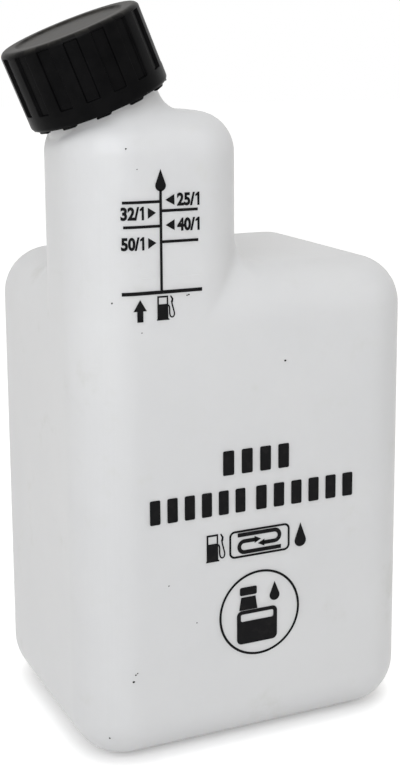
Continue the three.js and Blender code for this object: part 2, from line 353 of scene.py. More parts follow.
def addNoise(tree, detail, roughness):
    place = tree.nodes.new("ShaderNodeTexCoord")
    noise = tree.nodes.new("ShaderNodeTexNoise")
    noise.inputs["Detail"].default_value = detail
    noise.inputs["Roughness"].default_value = roughness
    tree.links.new(place.outputs["Object"], noise.inputs["Vector"])
    return noise


# A moulded skin: long soft waves with a fine grain on them
def makeMouldedSkin():
    inputs = [("Wave Scale", 30.0), ("Wave Height", 0.0001)]
    inputs += [("Grain Scale", 1500.0), ("Grain Height", 0.00001)]
    group, given, result = newGroup("mouldedSkin", inputs, [("Normal", "NodeSocketVector")])
    previous = None
    for scale, height, detail in (("Wave Scale", "Wave Height", 2.0), ("Grain Scale", "Grain Height", 3.0)):
        noise = addNoise(group, detail, 0.55)
        bump = group.nodes.new("ShaderNodeBump")
        bump.inputs["Strength"].default_value = 1.0
        group.links.new(given.outputs[scale], noise.inputs["Scale"])
        group.links.new(given.outputs[height], bump.inputs["Distance"])
        group.links.new(noise.outputs["Fac"], bump.inputs["Height"])
        if previous:
            group.links.new(previous.outputs["Normal"], bump.inputs["Normal"])
        previous = bump
    group.links.new(previous.outputs["Normal"], result.inputs["Normal"])
    return group


# A patchy mask between 0 and 1
def makePatches():
    inputs = [("Scale", 20.0), ("Low", 0.4), ("High", 0.6)]
    group, given, result = newGroup("patches", inputs, [("Mask", "NodeSocketFloat")])
    noise = addNoise(group, 6.0, 0.6)
    spread = group.nodes.new("ShaderNodeMapRange")
    spread.interpolation_type = "SMOOTHSTEP"
    group.links.new(given.outputs["Scale"], noise.inputs["Scale"])
    group.links.new(noise.outputs["Fac"], spread.inputs["Value"])
    group.links.new(given.outputs["Low"], spread.inputs["From Min"])
    group.links.new(given.outputs["High"], spread.inputs["From Max"])
    group.links.new(spread.outputs["Result"], result.inputs["Mask"])
    return group


mouldedSkin = makeMouldedSkin()
patches = makePatches()


# Materials
def newMaterial(name):
    material = bpy.data.materials.new(name)
    material.use_nodes = True
    nodes = material.node_tree.nodes
    return material, nodes, material.node_tree.links, nodes["Principled BSDF"]


def useGroup(nodes, group, values):
    node = nodes.new("ShaderNodeGroup")
    node.node_tree = group
    for label, value in values.items():
        node.inputs[label].default_value = value
    return node


def mixColour(nodes, links, mask, first, second):
    mix = nodes.new("ShaderNodeMix")
    mix.data_type = "RGBA"
    links.new(mask, mix.inputs["Factor"])
    for socket, colour in ((mix.inputs[6], first), (mix.inputs[7], second)):
        if isinstance(colour, tuple):
            socket.default_value = (*colour, 1)
        else:
            links.new(colour, socket)
    return mix.outputs[2]


def mixValue(nodes, links, mask, first, second):
    mix = nodes.new("ShaderNodeMix")
    mix.data_type = "FLOAT"
    links.new(mask, mix.inputs["Factor"])
    mix.inputs["A"].default_value = first
    mix.inputs["B"].default_value = second
    return mix.outputs["Result"]


milkySettings = {
    "colours": ((0.640, 0.641, 0.649), (0.665, 0.665, 0.671)),
    "haze": (0.62, 0.62, 0.61),  # faint rubbed patches
    "roughness": (0.40, 0.50),
    "ior": 1.5,
    "shine": 0.4,
    "scatter": 0.6,
    "scatterReach": 0.005,
    "scatterColour": (1.0, 1.0, 1.05),
    "broad": {"Scale": 16.0, "Low": 0.35, "High": 0.65},
    "rubbed": {"Scale": 70.0, "Low": 0.58, "High": 0.78},
    "skin": {"Wave Scale": 26.0, "Wave Height": 0.0005, "Grain Scale": 900.0, "Grain Height": 0.000012},
}


def makeMilkyPlastic(settings):
    material, nodes, links, shader = newMaterial("milkyPlastic")
    broad = useGroup(nodes, patches, settings["broad"]).outputs["Mask"]
    rubbed = useGroup(nodes, patches, settings["rubbed"]).outputs["Mask"]
    skin = useGroup(nodes, mouldedSkin, settings["skin"])
    plain = mixColour(nodes, links, broad, *settings["colours"])
    links.new(mixColour(nodes, links, rubbed, plain, settings["haze"]), shader.inputs["Base Color"])
    links.new(mixValue(nodes, links, rubbed, *settings["roughness"]), shader.inputs["Roughness"])
    links.new(skin.outputs["Normal"], shader.inputs["Normal"])
    shader.inputs["IOR"].default_value = settings["ior"]
    shader.inputs["Specular IOR Level"].default_value = settings["shine"]
    shader.inputs["Subsurface Weight"].default_value = settings["scatter"]
    shader.inputs["Subsurface Radius"].default_value = settings["scatterColour"]
    shader.inputs["Subsurface Scale"].default_value = settings["scatterReach"]
    return material


blackSettings = {
    "colours": ((0.0016, 0.0016, 0.0018), (0.0032, 0.0031, 0.0033)),
    "dustAndHighlight": (0.115, 0.108, 0.097),  # dust that lies in the cap's top, and the painted highlight on the top edge over the ribs
    "mottledShare": (0.3, 1.0),
    "shine": 0.04,
    "broad": {"Scale": 180.0, "Low": 0.35, "High": 0.65},
    "mottled": {"Scale": 300.0, "Low": 0.3, "High": 0.7},
    "roughness": (0.34, 0.55),
    "skin": {"Wave Scale": 160.0, "Wave Height": 0.00008, "Grain Scale": 2200.0, "Grain Height": 0.00001},
}


def makeBlackCap(settings):
    material, nodes, links, shader = newMaterial("blackCap")
    broad = useGroup(nodes, patches, settings["broad"]).outputs["Mask"]
    mottled = useGroup(nodes, patches, settings["mottled"]).outputs["Mask"]
    skin = useGroup(nodes, mouldedSkin, settings["skin"])
    # How much of the dust and painted highlight colour each point takes, mottled in patches
    disc = nodes.new("ShaderNodeAttribute")
    disc.attribute_name = "capDustAndHighlight"
    share = nodes.new("ShaderNodeMath")
    share.operation = "MULTIPLY"
    links.new(disc.outputs["Fac"], share.inputs[0])
    links.new(mixValue(nodes, links, mottled, *settings["mottledShare"]), share.inputs[1])
    plain = mixColour(nodes, links, broad, *settings["colours"])
    links.new(mixColour(nodes, links, share.outputs[0], plain, settings["dustAndHighlight"]), shader.inputs["Base Color"])
    links.new(mixValue(nodes, links, share.outputs[0], *settings["roughness"]), shader.inputs["Roughness"])
    links.new(skin.outputs["Normal"], shader.inputs["Normal"])
    shader.inputs["Specular IOR Level"].default_value = settings["shine"]
    return material


foamSettings = {
    "colours": ((0.72, 0.70, 0.65), (0.64, 0.61, 0.54)),
    "roughness": 0.8,
    "stained": {"Scale": 120.0, "Low": 0.4, "High": 0.7},
    "skin": {"Wave Scale": 900.0, "Wave Height": 0.00006, "Grain Scale": 3000.0, "Grain Height": 0.00002},
}


def makeFoamWad(settings):
    material, nodes, links, shader = newMaterial("foamWad")
    stained = useGroup(nodes, patches, settings["stained"]).outputs["Mask"]
    links.new(mixColour(nodes, links, stained, *settings["colours"]), shader.inputs["Base Color"])
    skin = useGroup(nodes, mouldedSkin, settings["skin"])
    links.new(skin.outputs["Normal"], shader.inputs["Normal"])
    shader.inputs["Roughness"].default_value = settings["roughness"]
    return material


inkSettings = {
    "blackInk": {"colours": ((0.004, 0.004, 0.0045), (0.009, 0.0085, 0.0085)), "roughness": 0.5},
    "dirt": {"colours": ((0.009, 0.009, 0.009), (0.025, 0.022, 0.02)), "roughness": 0.8},
    "shine": 0.08,
    "thin": {"Scale": 500.0, "Low": 0.45, "High": 0.75},
}


def makeInk(name, settings):
    material, nodes, links, shader = newMaterial(name)
    thin = useGroup(nodes, patches, settings["thin"]).outputs["Mask"]
    links.new(mixColour(nodes, links, thin, *settings[name]["colours"]), shader.inputs["Base Color"])
    shader.inputs["Roughness"].default_value = settings[name]["roughness"]
    shader.inputs["Specular IOR Level"].default_value = settings["shine"]
    return material


milkyPlastic = makeMilkyPlastic(milkySettings)
blackCap = makeBlackCap(blackSettings)
foamWad = makeFoamWad(foamSettings)
blackInk = makeInk("blackInk", inkSettings)
dirt = makeInk("dirt", inkSettings)
print("materials done")


# Geometry Nodes: a tree with named inputs, run on an object and turned into a plain mesh
def newTree(name, inputs):
    tree = bpy.data.node_groups.new(name, "GeometryNodeTree")
    tree.interface.new_socket(name="Geometry", in_out="INPUT", socket_type="NodeSocketGeometry")
    for label, kind in inputs:
        tree.interface.new_socket(name=label, in_out="INPUT", socket_type=kind)
    tree.interface.new_socket(name="Geometry", in_out="OUTPUT", socket_type="NodeSocketGeometry")
    return tree, tree.nodes.new("NodeGroupInput"), tree.nodes.new("NodeGroupOutput")


def mathNode(tree, operation, first, second=None):
    node = tree.nodes.new("ShaderNodeMath")
    node.operation = operation
    for at, value in enumerate((first, second)):
        if isinstance(value, (int, float)):
            node.inputs[at].default_value = value
        elif value is not None:
            tree.links.new(value, node.inputs[at])
    return node.outputs[0]


def makeRoundTheAxis():
    inputs = [("Count", "NodeSocketInt"), ("Phase", "NodeSocketFloat"), ("Weld", "NodeSocketFloat")]
    tree, given, result = newTree("roundTheAxis", inputs + [("Material", "NodeSocketMaterial")])
    points = tree.nodes.new("GeometryNodePoints")
    index = tree.nodes.new("GeometryNodeInputIndex")
    turn = tree.nodes.new("ShaderNodeCombineXYZ")
    copies = tree.nodes.new("GeometryNodeInstanceOnPoints")
    realize = tree.nodes.new("GeometryNodeRealizeInstances")
    weld = tree.nodes.new("GeometryNodeMergeByDistance")
    paint = tree.nodes.new("GeometryNodeSetMaterial")
    step = mathNode(tree, "DIVIDE", 2 * math.pi, given.outputs["Count"])
    angle = mathNode(tree, "ADD", mathNode(tree, "MULTIPLY", index.outputs[0], step), given.outputs["Phase"])
    tree.links.new(given.outputs["Count"], points.inputs["Count"])
    tree.links.new(angle, turn.inputs["Z"])
    tree.links.new(points.outputs[0], copies.inputs["Points"])
    tree.links.new(given.outputs["Geometry"], copies.inputs["Instance"])
    tree.links.new(turn.outputs[0], copies.inputs["Rotation"])
    tree.links.new(copies.outputs[0], realize.inputs[0])
    tree.links.new(realize.outputs[0], weld.inputs["Geometry"])
    tree.links.new(given.outputs["Weld"], weld.inputs["Distance"])
    tree.links.new(weld.outputs[0], paint.inputs["Geometry"])
    tree.links.new(given.outputs["Material"], paint.inputs["Material"])
    tree.links.new(paint.outputs[0], result.inputs["Geometry"])
    return tree


# A screw ridge: a section swept along a spiral, thinned towards both ends
def makeScrewRidge():
    numbers = ("Radius", "Pitch", "Turns", "Start", "Fade", "Tip")
    inputs = [(label, "NodeSocketFloat") for label in numbers]
    inputs += [("Steps", "NodeSocketInt"), ("Material", "NodeSocketMaterial")]
    tree, given, result = newTree("screwRidge", inputs)
    spiral = tree.nodes.new("GeometryNodeCurveSpiral")
    tree.links.new(given.outputs["Steps"], spiral.inputs["Resolution"])
    height = mathNode(tree, "MULTIPLY", given.outputs["Pitch"], given.outputs["Turns"])
    tree.links.new(given.outputs["Turns"], spiral.inputs["Rotations"])
    tree.links.new(given.outputs["Radius"], spiral.inputs["Start Radius"])
    tree.links.new(given.outputs["Radius"], spiral.inputs["End Radius"])
    tree.links.new(height, spiral.inputs["Height"])
    along = tree.nodes.new("GeometryNodeSplineParameter").outputs["Factor"]
    ends = mathNode(tree, "MINIMUM", along, mathNode(tree, "SUBTRACT", 1.0, along))
    grown = mathNode(tree, "DIVIDE", ends, given.outputs["Fade"])
    share = mathNode(tree, "MINIMUM", mathNode(tree, "ADD", grown, given.outputs["Tip"]), 1.0)
    thin = tree.nodes.new("GeometryNodeSetCurveRadius")
    upright = tree.nodes.new("GeometryNodeSetCurveNormal")
    upright.mode = "Z_UP"
    section = tree.nodes.new("GeometryNodeMeshToCurve")
    sweep = tree.nodes.new("GeometryNodeCurveToMesh")
    sweep.inputs["Fill Caps"].default_value = True
    lift = tree.nodes.new("ShaderNodeCombineXYZ")
    move = tree.nodes.new("GeometryNodeTransform")
    realize = tree.nodes.new("GeometryNodeRealizeInstances")
    paint = tree.nodes.new("GeometryNodeSetMaterial")
    tree.links.new(spiral.outputs[0], upright.inputs["Curve"])
    tree.links.new(upright.outputs[0], thin.inputs["Curve"])
    tree.links.new(share, thin.inputs["Radius"])
    tree.links.new(given.outputs["Geometry"], section.inputs["Mesh"])
    tree.links.new(thin.outputs[0], sweep.inputs["Curve"])
    tree.links.new(section.outputs[0], sweep.inputs["Profile Curve"])
    radius = tree.nodes.new("GeometryNodeInputRadius")
    tree.links.new(radius.outputs[0], sweep.inputs["Scale"])
    tree.links.new(given.outputs["Start"], lift.inputs["Z"])
    tree.links.new(sweep.outputs[0], move.inputs["Geometry"])
    tree.links.new(lift.outputs[0], move.inputs["Translation"])
    tree.links.new(move.outputs[0], realize.inputs[0])
    tree.links.new(realize.outputs[0], paint.inputs["Geometry"])
    tree.links.new(given.outputs["Material"], paint.inputs["Material"])
    tree.links.new(paint.outputs[0], result.inputs["Geometry"])
    return tree


def runTree(name, tree, mesh, values):
    maker = bpy.data.objects.new(name, mesh)
    bpy.context.scene.collection.objects.link(maker)
    modifier = maker.modifiers.new("nodes", "NODES")
    modifier.node_group = tree
    for item in tree.interface.items_tree:
        if item.item_type == "SOCKET" and item.in_out == "INPUT" and item.name in values:
            modifier[item.identifier] = values[item.name]
    seen = maker.evaluated_get(bpy.context.evaluated_depsgraph_get())
    result = bpy.data.meshes.new_from_object(seen)
    maker.modifiers.remove(modifier)
    bpy.data.objects.remove(maker)
    result.name = name
    return result


def outwards(mesh):
    shape = bmesh.new()
    shape.from_mesh(mesh)
    bmesh.ops.remove_doubles(shape, verts=shape.verts, dist=1e-6)
    bmesh.ops.recalc_face_normals(shape, faces=shape.faces)
    shape.to_mesh(mesh)
    shape.free()
    return mesh


roundTheAxis = makeRoundTheAxis()
screwRidge = makeScrewRidge()

# Bottle skin and its thread
angles = ringAngles()
outer = skinRings(angles, 0, b["neckRadius"])
inner = skinRings(angles, b["wall"], b["neckRadius"] - b["neckWall"])
skin = loftMesh("bottleSkin", outer + inner[::-1])
bottle = placed("bottleSkin", skin, toFrame, milkyPlastic, "bottle")
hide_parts("bottle")

threadSettings = {
    "pitch": 4.5,
    "depth": 1.1,
    "turns": 1.6,
    "width": 1.9,
    "clearance": 0.5,
    "seatGap": 0.3,
    "fade": 0.08,  # share of the length over which an end thins out
    "tip": 0.15,  # share of the section that is left at an end
    "steps": 96,
    "halfWidths": (0.95, 0.78, 0.42),  # at the root, above it and at the crest, as shares
    "sunk": 0.4,  # share of the wall that the root goes into
    "rootFillet": 0.16,
    "crestRadius": 0.3,
}
t = threadSettings


# A rounded section whose root is sunk into the wall
# Facing is 1 for a thread that stands out and -1 for one inside
def threadSection(facing, sunk):
    half = t["width"] / 2
    root, flank, crest = (half * share for share in t["halfWidths"])
    soft, rounding = t["rootFillet"], t["crestRadius"]
    points = [(-sunk, -half), (0, -root), (soft, -flank)]
    for turn in np.linspace(-math.pi / 2, math.pi / 2, 7):
        points.append((t["depth"] - rounding + rounding * math.cos(turn), crest * math.sin(turn)))
    points += [(soft, flank), (0, root), (-sunk, half)]
    mesh = bpy.data.meshes.new("threadSection")
    vertices = [(facing * out, up, 0) for out, up in points]
    edges = [(at, (at + 1) % len(points)) for at in range(len(points))]
    mesh.from_pydata(vertices, edges, [])
    return mesh


def threadMesh(name, radius, facing, sunk, start, material):
    values = {"Radius": radius, "Pitch": t["pitch"], "Turns": t["turns"], "Start": start}
    values |= {"Fade": t["fade"], "Tip": t["tip"], "Steps": t["steps"], "Material": material}
    return outwards(runTree(name, screwRidge, threadSection(facing, sunk), values))


threadStart = b["neckLength"] - t["width"] - t["pitch"] * t["turns"]
neckSunk = b["neckWall"] * t["sunk"]
neckThread = threadMesh("neckThread", b["neckRadius"], 1, neckSunk, threadStart, milkyPlastic)
placed("neckThread", neckThread, toNeck, milkyPlastic, "bottle")

# Cap, in the neck's own frame
capSettings = {
    "wall": 1.35,
    "rise": 2.05,
    "top": 2.0,
    "edge": 1.6,
    "rim": 2.6,
    "recess": 0.6,
    "gripCount": 16,
    "gripPhase": 2.0,
    "gripDepth": 0.7,
    "gripShare": 0.48,
    "gripBottom": 4.35,
    "gripTop": 1.3,
    "lugCount": 12,
    "lugPhase": 13.5,
    "lugHeight": 0.55,
    "lugShare": 0.48,
    "lugInset": 0.3,  # from the bore, as a share of the wall
    "lugDepth": 0.8,  # as a share of the wall
    "lugSoft": 0.12,
    "liner": 1.5,
    "weld": 0.002,
    "soft": 0.18,  # how far a pocket's edge is rounded
    "inner": 0.3,  # the rounding inside, under the top
    "mouth": ((0, 0.35), (0.1, 0.1), (0.35, 0)),  # out from the bore, up
    "foot": ((-0.15, 0), (0, 0.06), (0.28, 0.56)),  # out from the middle of the ribs, up
    "skirt": (0.9, 2.4),
    "nearRib": (-1.3, -0.9, -0.5, -0.15, 0.15, 0.5, 0.9, 1.3),  # rows across a soft edge
    "nearWall": (-1.4, -0.9, -0.5, -0.15, 0.15, 0.5, 0.9, 1.4),  # columns across a soft edge
    # painted highlight on the rounding of the top edge
    "edgeHighlight": 0.5,
    "ringDust": ((0.2, 0, 0.55), (0, 0.06, 0.4), (-0.2, 0.25, 0.3)),  # out from the ring, down, dust
    # dust on the recess's foot, its rim and the disc
    "capDustAndHighlight": (0.45, 0.55, 0.6),
    "pocketHighlight": 0.4,  # share of the top edge's painted highlight that is left over a pocket
    "pocketBand": 0.7,  # how far in from the side that holds, as a share of the edge
}
c = capSettings
capBore = b["neckRadius"] + t["depth"] + t["clearance"]
capRadius = capBore + c["wall"] + c["gripDepth"]
capInside = b["neckLength"] - c["rise"] + 2 * t["seatGap"] + c["liner"]
capHeight = capInside + c["top"]
toCap = toNeck @ Matrix.Translation((0, 0, c["rise"]))


def softStep(value, middle, soft):
    share = min(max((value - middle + soft) / (2 * soft), 0), 1)
    return share * share * (3 - 2 * share)


# The cap's section from the inside of its top, down the bore, up the skirt and over the top
# Each row is a radius, a height and how much it takes of the colour for dust and painted highlight
def capSection():
    top, edge, soft, inner = capHeight, c["edge"], c["soft"], c["inner"]
    rows = [(0, capInside, 0), (capBore * 0.6, capInside, 0), (capBore - inner, capInside, 0)]
    rows += [(capBore - inner * 0.3, capInside - inner * 0.3, 0), (capBore, capInside - inner, 0)]
    rows += [(capBore, capInside / 2, 0)]
    rows += [(capBore + out, up, 0) for out, up in c["mouth"]]
    rows += [(capRadius - c["gripDepth"] / 2 + out, up, 0) for out, up in c["foot"]]
    rows += [(capRadius, up, 0) for up in c["skirt"]]
    rows += [(capRadius, c["gripBottom"] + soft * share, 0) for share in c["nearRib"]]
    rows += [(capRadius, up, 0) for up in np.linspace(c["gripBottom"] + 1, top - edge - 0.4, 6)]

    # The rounded top edge, with rows close together where the pockets end; its colour is a painted highlight
    # that grows towards the top
    high = top - c["gripTop"]
    turns = [math.asin((high + soft * share - top + edge) / edge) for share in c["nearRib"]]
    over = list(np.linspace(turns[-1] + 0.15, math.pi / 2, 7))
    for turn in [0.0] + [turn for turn in turns if turn > 0.02] + over:
        out, up = math.cos(turn), math.sin(turn)
        rows.append((capRadius - edge + edge * out, top - edge + edge * up, c["edgeHighlight"] * up ** 3))

    # The ring and the recessed disc
    ring = capRadius - edge - c["rim"]
    deep = top - c["recess"]
    foot, rim, disc = c["capDustAndHighlight"]
    rows += [(ring + out, top - down, dustAndHighlight) for out, down, dustAndHighlight in c["ringDust"]]
    rows += [(ring - c["recess"] + 0.1, deep + 0.08, foot), (ring - c["recess"] - 0.2, deep, rim)]
    rows += [(ring * share, deep, disc) for share in (0.75, 0.4, 0)]
    return rows


def capSector():
    half = math.pi / c["gripCount"]
    wall = half * c["gripShare"]
    soft = c["soft"] / capRadius
    near = [wall + soft * share for share in c["nearWall"]]
    right = [wall * 0.4, wall * 0.75] + near + list(np.linspace(near[-1], half, 5)[1:])
    columns = [-turn for turn in right[::-1]] + [0.0] + right
    rows = capSection()
    pocketBottom = capRadius - c["gripDepth"]
    pocketTop = capHeight - c["gripTop"]
    darkFrom = capRadius - c["edge"] * c["pocketBand"]
    vertices = []
    dustAndHighlight = []
    for radius, height, share in rows:
        tall = softStep(height, c["gripBottom"], c["soft"]) - softStep(height, pocketTop, c["soft"])
        for turn in columns:
            pocket = tall * (1 - softStep(abs(turn), wall, soft)) if radius > pocketBottom else 0
            out = radius - pocket * (radius - pocketBottom)
            vertices.append((out * math.cos(turn), out * math.sin(turn), height))
            # Over a pocket the top edge keeps less of its painted highlight, so the highlight lies on the rib
            # tops
            overPocket = abs(turn) < wall and radius > darkFrom
            dustAndHighlight.append(share * c["pocketHighlight"] if overPocket else share)
    across = len(columns)
    faces = []
    for row in range(len(rows) - 1):
        for at in range(across - 1):
            corner = row * across + at
            faces.append((corner, corner + 1, corner + across + 1, corner + across))
    mesh = bpy.data.meshes.new("capSector")
    mesh.from_pydata(vertices, [], faces)
    layer = mesh.attributes.new("capDustAndHighlight", "FLOAT", "POINT")
    layer.data.foreach_set("value", dustAndHighlight)
    return mesh


def capLug():
    width = 2 * math.pi * capRadius / c["lugCount"] * c["lugShare"]
    tall, depth = c["lugHeight"], c["wall"] * c["lugDepth"]
    inset = capBore + c["wall"] * c["lugInset"]
    outline = [(-width / 2, tall), (-width / 2, -tall), (width / 2 - 2 * tall, -tall), (width / 2, tall)]
    shape = bmesh.new()
    corners = [shape.verts.new((inset, across, height)) for across, height in outline]
    face = shape.faces.new(corners)
    pushed = bmesh.ops.extrude_face_region(shape, geom=[face])
    moved = [item for item in pushed["geom"] if isinstance(item, bmesh.types.BMVert)]
    bmesh.ops.translate(shape, verts=moved, vec=(depth, 0, 0))
    bmesh.ops.bevel(shape, geom=shape.edges[:], offset=c["lugSoft"], segments=3, affect="EDGES")
    mesh = bpy.data.meshes.new("capLug")
    shape.to_mesh(mesh)
    shape.free()
    return mesh


def roundTheCap(name, mesh, count, phase):
    values = {"Count": count, "Phase": math.radians(phase), "Weld": c["weld"], "Material": blackCap}
    return outwards(runTree(name, roundTheAxis, mesh, values))


capShell = roundTheCap("capShell", capSector(), c["gripCount"], c["gripPhase"])
cap = placed("capShell", capShell, toCap, blackCap, "cap")
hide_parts("cap")
capLugs = roundTheCap("capLugs", capLug(), c["lugCount"], c["lugPhase"])
placed("capLugs", capLugs, toCap, blackCap, "cap")
capThreadStart = threadStart - c["rise"] - t["width"] / 2 - t["seatGap"]
capThread = threadMesh("capThread", capBore, -1, c["wall"] * t["sunk"], capThreadStart, blackCap)
placed("capThread", capThread, toCap, blackCap, "cap")


# Liner: a wad with the ring that the neck's rim has pressed into it
linerSettings = {
    "pressed": 0.18,
    "soft": 0.2,
    "steps": 96,
}


def linerMesh(settings):
    radius = capBore - t["seatGap"]
    low = capInside - t["seatGap"] - c["liner"]
    high = capInside - t["seatGap"]
    pressed = b["neckRadius"] - b["neckWall"] / 2
    half, deep, soft = b["neckWall"] / 2, settings["pressed"], settings["soft"]
    section = [(0, low), (pressed - half - soft, low), (pressed - half, low + deep)]
    section += [(pressed + half, low + deep), (pressed + half + soft, low)]
    section += [(radius - soft, low), (radius, low + soft)]
    section += [(radius, high - soft), (radius - soft, high), (0, high)]
    turns = np.linspace(0, 2 * math.pi, settings["steps"], endpoint=False)
    rings = []
    for out, height in section:
        if out == 0:
            rings.append(np.array([[0, 0, height]]))
        else:
            level = np.full(len(turns), height)
            rings.append(np.column_stack([out * np.cos(turns), out * np.sin(turns), level]))
    return outwards(loftMesh("linerWad", rings))


liner = placed("linerWad", linerMesh(linerSettings), toCap, foamWad, "liner")
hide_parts("liner")

# Print on the front: x runs right from the body's middle and z up from the base
printSettings = {
    "thickness": 0.06,
    "proud": 0.035,  # how far the ink stands off the skin
    "axis": (-28.0, 131.4, 157.9, 0.72),  # x, low z, high z, width
    "base": (-38.7, -16.6, 131.4, 0.95),  # left, right, z, width
    "ticks": (  # left, right, z
        (-38.3, -28.3, 154.9),
        (-27.7, -17.7, 152.5),
        (-38.1, -28.3, 148.6),
        (-27.7, -17.6, 144.5),
    ),
    "tickWidth": 0.75,
    "markHeight": 3.45,
    "bold": 0.044,  # how far the digits' outlines grow
    "oneBar": (0.62, 0.55),  # width of the bar and of its flag
    "oneFlag": (0.62, 1.1, 0.95),  # how far down the flag's three corners are
    "oneGap": 0.1,
    "marksRight": (("25/", 155.25), ("40/", 148.75)),
    "marksLeft": (("32/", 152.05), ("50/", 144.3)),
    "rightText": (-23.5, -17.2),
    "leftText": (-38.7, -32.6),
    "rightPointer": (-26.7, -24.2),  # tip, back
    "leftPointer": (-29.3, -31.55),
    "pointerHalf": 1.42,
    "scaleDrop": (-27.96, 157.5, 163.2, 2.9),  # x, low z, high z, width
    "upArrow": (-35.8, -32.15, 123.9, 129.8),  # left, right, low, high
    "arrowStem": (0.48, 0.23),  # how high the stem goes and half its width, as shares
    "scalePump": (-29.45, 124.0, 5.05, 6.4),  # left, low, width, height
    "hose": 0.075,  # its width, as a share of the pump's
    "barRows": (  # left, right, low, high, how many
        (-10.8, 9.4, 79.6, 86.5, 4),
        (-32.1, -4.0, 68.7, 75.5, 6),
        (-0.9, 29.5, 68.7, 75.5, 6),
    ),
    "barShare": 0.6,
    "barCorner": 0.45,
    "frontPump": (-16.0, 55.7, 5.7, 7.8),
    "frame": (-9.05, 9.5, 55.6, 63.5, 1.7, 0.62),  # left, right, low, high, corner, width
    "turnArrows": (-6.6, 6.9, 56.5, 62.7, 1.15),  # left, right, low, high, width
    "arrowCross": 0.62,  # how far past the middle each arrow comes back
    "arrowHead": 0.88,  # half the head's length, as a share of the line's width
    "frontDrop": (12.85, 56.0, 63.0, 3.55),
    "ring": (0.24, 38.8, 12.35, 0.68),  # x, z, radius, width
    "ringSteps": 96,
    "cornerCuts": (14, 0.4),  # cuts where the skin turns round the corner, and how far apart
}
p = printSettings


def arcPoints(x, z, radius, start, end, steps):
    turns = [math.radians(start + (end - start) * step / steps) for step in range(steps + 1)]
    return [(x + radius * math.cos(turn), z + radius * math.sin(turn)) for turn in turns]


def boxLoop(left, right, low, high):
    return [(left, low), (right, low), (right, high), (left, high)]


def roundBoxLoop(left, right, low, high, corner):
    points = []
    for x, z, start in (
        (right - corner, high - corner, 0),
        (left + corner, high - corner, 90),
        (left + corner, low + corner, 180),
        (right - corner, low + corner, 270),
    ):
        points += arcPoints(x, z, corner, start, start + 90, 6)
    return points


# A line of even width along an open path
def strokeLoop(path, width):
    line = np.array(path, dtype=float)
    along = np.gradient(line, axis=0)
    along /= np.linalg.norm(along, axis=1, keepdims=True)
    across = np.column_stack([-along[:, 1], along[:, 0]]) * width / 2
    return [tuple(point) for point in np.concatenate([line + across, (line - across)[::-1]])]


# A smooth path through a few points
def smoothPath(points, steps=6):
    ends = [points[0]] + list(points) + [points[-1]]
    path = []
    for at in range(1, len(ends) - 2):
        first, second, third, fourth = (np.array(point) for point in ends[at - 1:at + 3])
        for step in range(steps):
            s = step / steps
            bend = (2 * first - 5 * second + 4 * third - fourth) * s * s
            turn = (3 * second - first - 3 * third + fourth) * s ** 3
            path.append(tuple((2 * second + (third - first) * s + bend + turn) / 2))
    return path + [tuple(points[-1])]


def dropLoop(x, low, high, width):
    radius = width / 2
    middle = low + radius
    lean = math.degrees(math.asin(radius / (high - middle)))
    return [(x, high)] + arcPoints(x, middle, radius, 180 - lean, 360 + lean, 24)


def pumpLoops(left, low, width, height):
    def at(points):
        return [(left + across * width, low + up * height) for across, up in points]

    body = [(0.04, 0.06), (0.64, 0.06), (0.64, 1.0), (0.04, 1.0)]
    window = [(0.13, 0.66), (0.56, 0.66), (0.56, 0.93), (0.13, 0.93)]
    foot = [(0.0, 0.0), (0.72, 0.0), (0.67, 0.06), (0.02, 0.06)]
    hose = [(0.65, 0.62), (0.71, 0.5), (0.72, 0.25), (0.79, 0.12), (0.92, 0.12), (0.98, 0.24), (0.93, 0.42)]
    hose += [(0.86, 0.62), (0.84, 0.74)]
    nozzle = [(0.74, 0.98), (0.8, 1.0), (0.93, 0.86), (0.9, 0.72), (0.78, 0.72), (0.83, 0.84)]
    line = strokeLoop(smoothPath(at(hose)), width * p["hose"])
    return [[at(body), at(window)], [at(foot)], [line], [at(nozzle)]]


def turnArrowLoops(left, right, low, high, width):
    x = (left + right) / 2
    z = (low + high) / 2
    upper = high - width / 2
    back = z - p["arrowCross"]
    bend = (upper - back) / 2
    head = width * p["arrowHead"]
    loops = []
    for sign in (1, -1):

        def turned(points):
            return [(x + sign * (across - x), z + sign * (up - z)) for across, up in points]

        path = [(left + 0.1, upper), (x, upper)]
        path += arcPoints(right - width / 2 - bend, upper - bend, bend, 90, -90, 12) + [(x + head, back)]
        loops.append([turned(strokeLoop(path, width))])
        tip = x - head / 2
        loops.append([turned([(tip, back), (tip + 2 * head, back + head), (tip + 2 * head, back - head)])])
    return loops


# A plain sign inside the ring: a jar that is nearly full, and a drop beside its lid
def ringSignLoops(x, z):
    jar = roundBoxLoop(x - 7.0, x + 5.4, z - 8.6, z + 1.2, 1.5)
    space = roundBoxLoop(x - 5.8, x + 4.2, z - 2.0, z + 0.1, 0.5)
    tower = [[(x - 6.3, z + 1.3), (x - 0.7, z + 1.3), (x - 1.3, z + 5.1), (x - 5.7, z + 5.1)]]
    lid = [roundBoxLoop(x - 6.1, x - 0.9, z + 5.6, z + 8.0, 0.5)]
    drop = [dropLoop(x + 4.6, z + 2.7, z + 8.3, 3.1)]
    return [[jar, space], tower, lid, drop]


def fillLoops(shape, loops):
    data = bpy.data.curves.new("ink", "CURVE")
    data.dimensions = "2D"
    data.fill_mode = "BOTH"
    for loop in loops:
        spline = data.splines.new("POLY")
        spline.points.add(len(loop) - 1)
        for at, (x, z) in enumerate(loop):
            spline.points[at].co = (x, z, 0, 1)
        spline.use_cyclic_u = True
    addFlat(shape, data, Matrix())


def addFlat(shape, data, matrix):
    maker = bpy.data.objects.new("ink", data)
    bpy.context.scene.collection.objects.link(maker)
    mesh = bpy.data.meshes.new_from_object(maker.evaluated_get(bpy.context.evaluated_depsgraph_get()))
    bpy.data.objects.remove(maker)
    mesh.transform(matrix)
    shape.from_mesh(mesh)
    bpy.data.meshes.remove(mesh)


